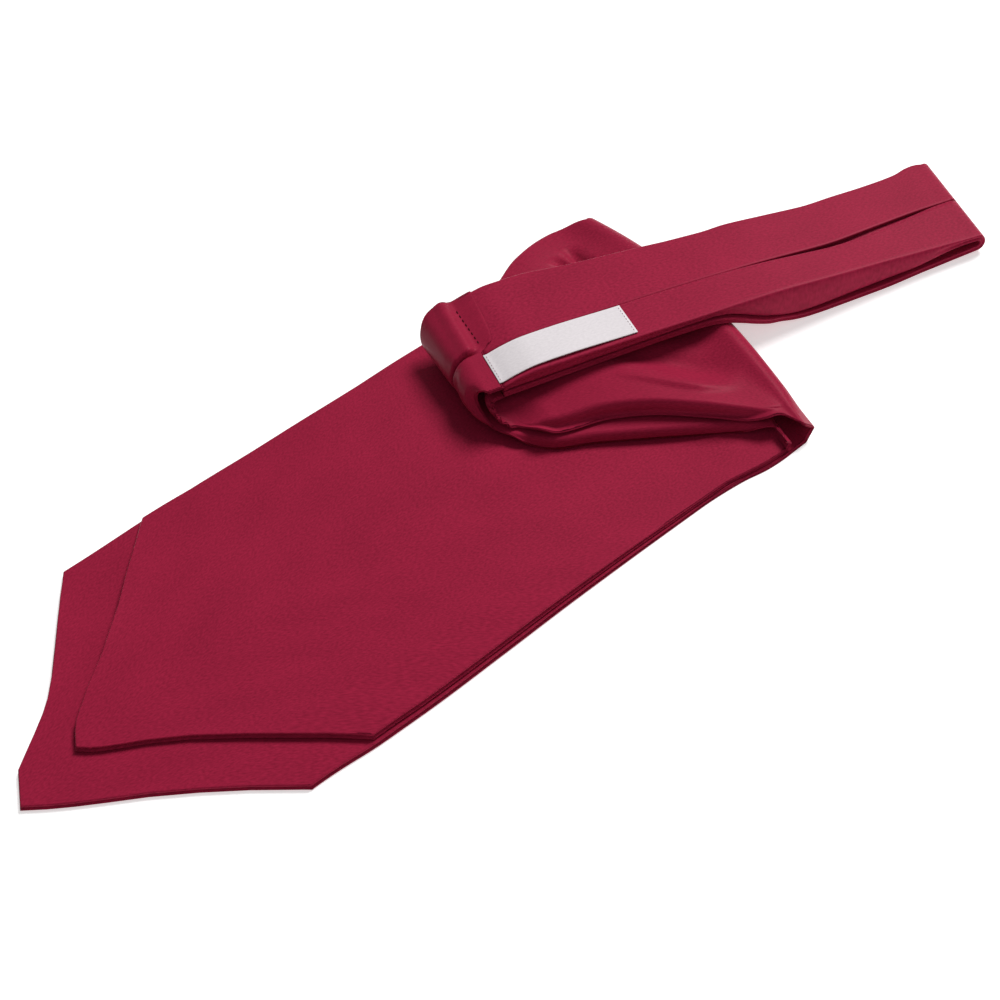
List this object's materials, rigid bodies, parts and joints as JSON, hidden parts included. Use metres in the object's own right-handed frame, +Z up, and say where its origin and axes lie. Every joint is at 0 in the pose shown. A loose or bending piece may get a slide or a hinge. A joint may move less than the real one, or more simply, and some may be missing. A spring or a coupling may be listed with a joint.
{
  "type": "silk cravat",
  "caption": "Self-tie cravat in plain deep red satin, folded flat: wide pointed blades under a rolled pile, narrow neckband on top with its slit and a blank label.",
  "frame": {"origin": "middle of the footprint, on the surface that the folded cravat lies on", "axes": "+X along the blades from their points to the right-hand fold, +Z up from the surface, +Y towards the blades' far edge"},
  "size_m": [0.4514, 0.1604, 0.0238],
  "materials": {
    "under_blade_satin": "deep red satin weave, soft sheen",
    "over_blade_satin": "deep red satin weave, soft sheen",
    "neckband_satin": "deep red satin weave, soft sheen",
    "label_satin": "pale grey-white woven satin, blank"
  },
  "bodies": {
    "root": {"under_blade": "under_blade_satin", "over_blade": "over_blade_satin", "neckband": "neckband_satin", "label": "label_satin"}
  },
  "joints": []
}
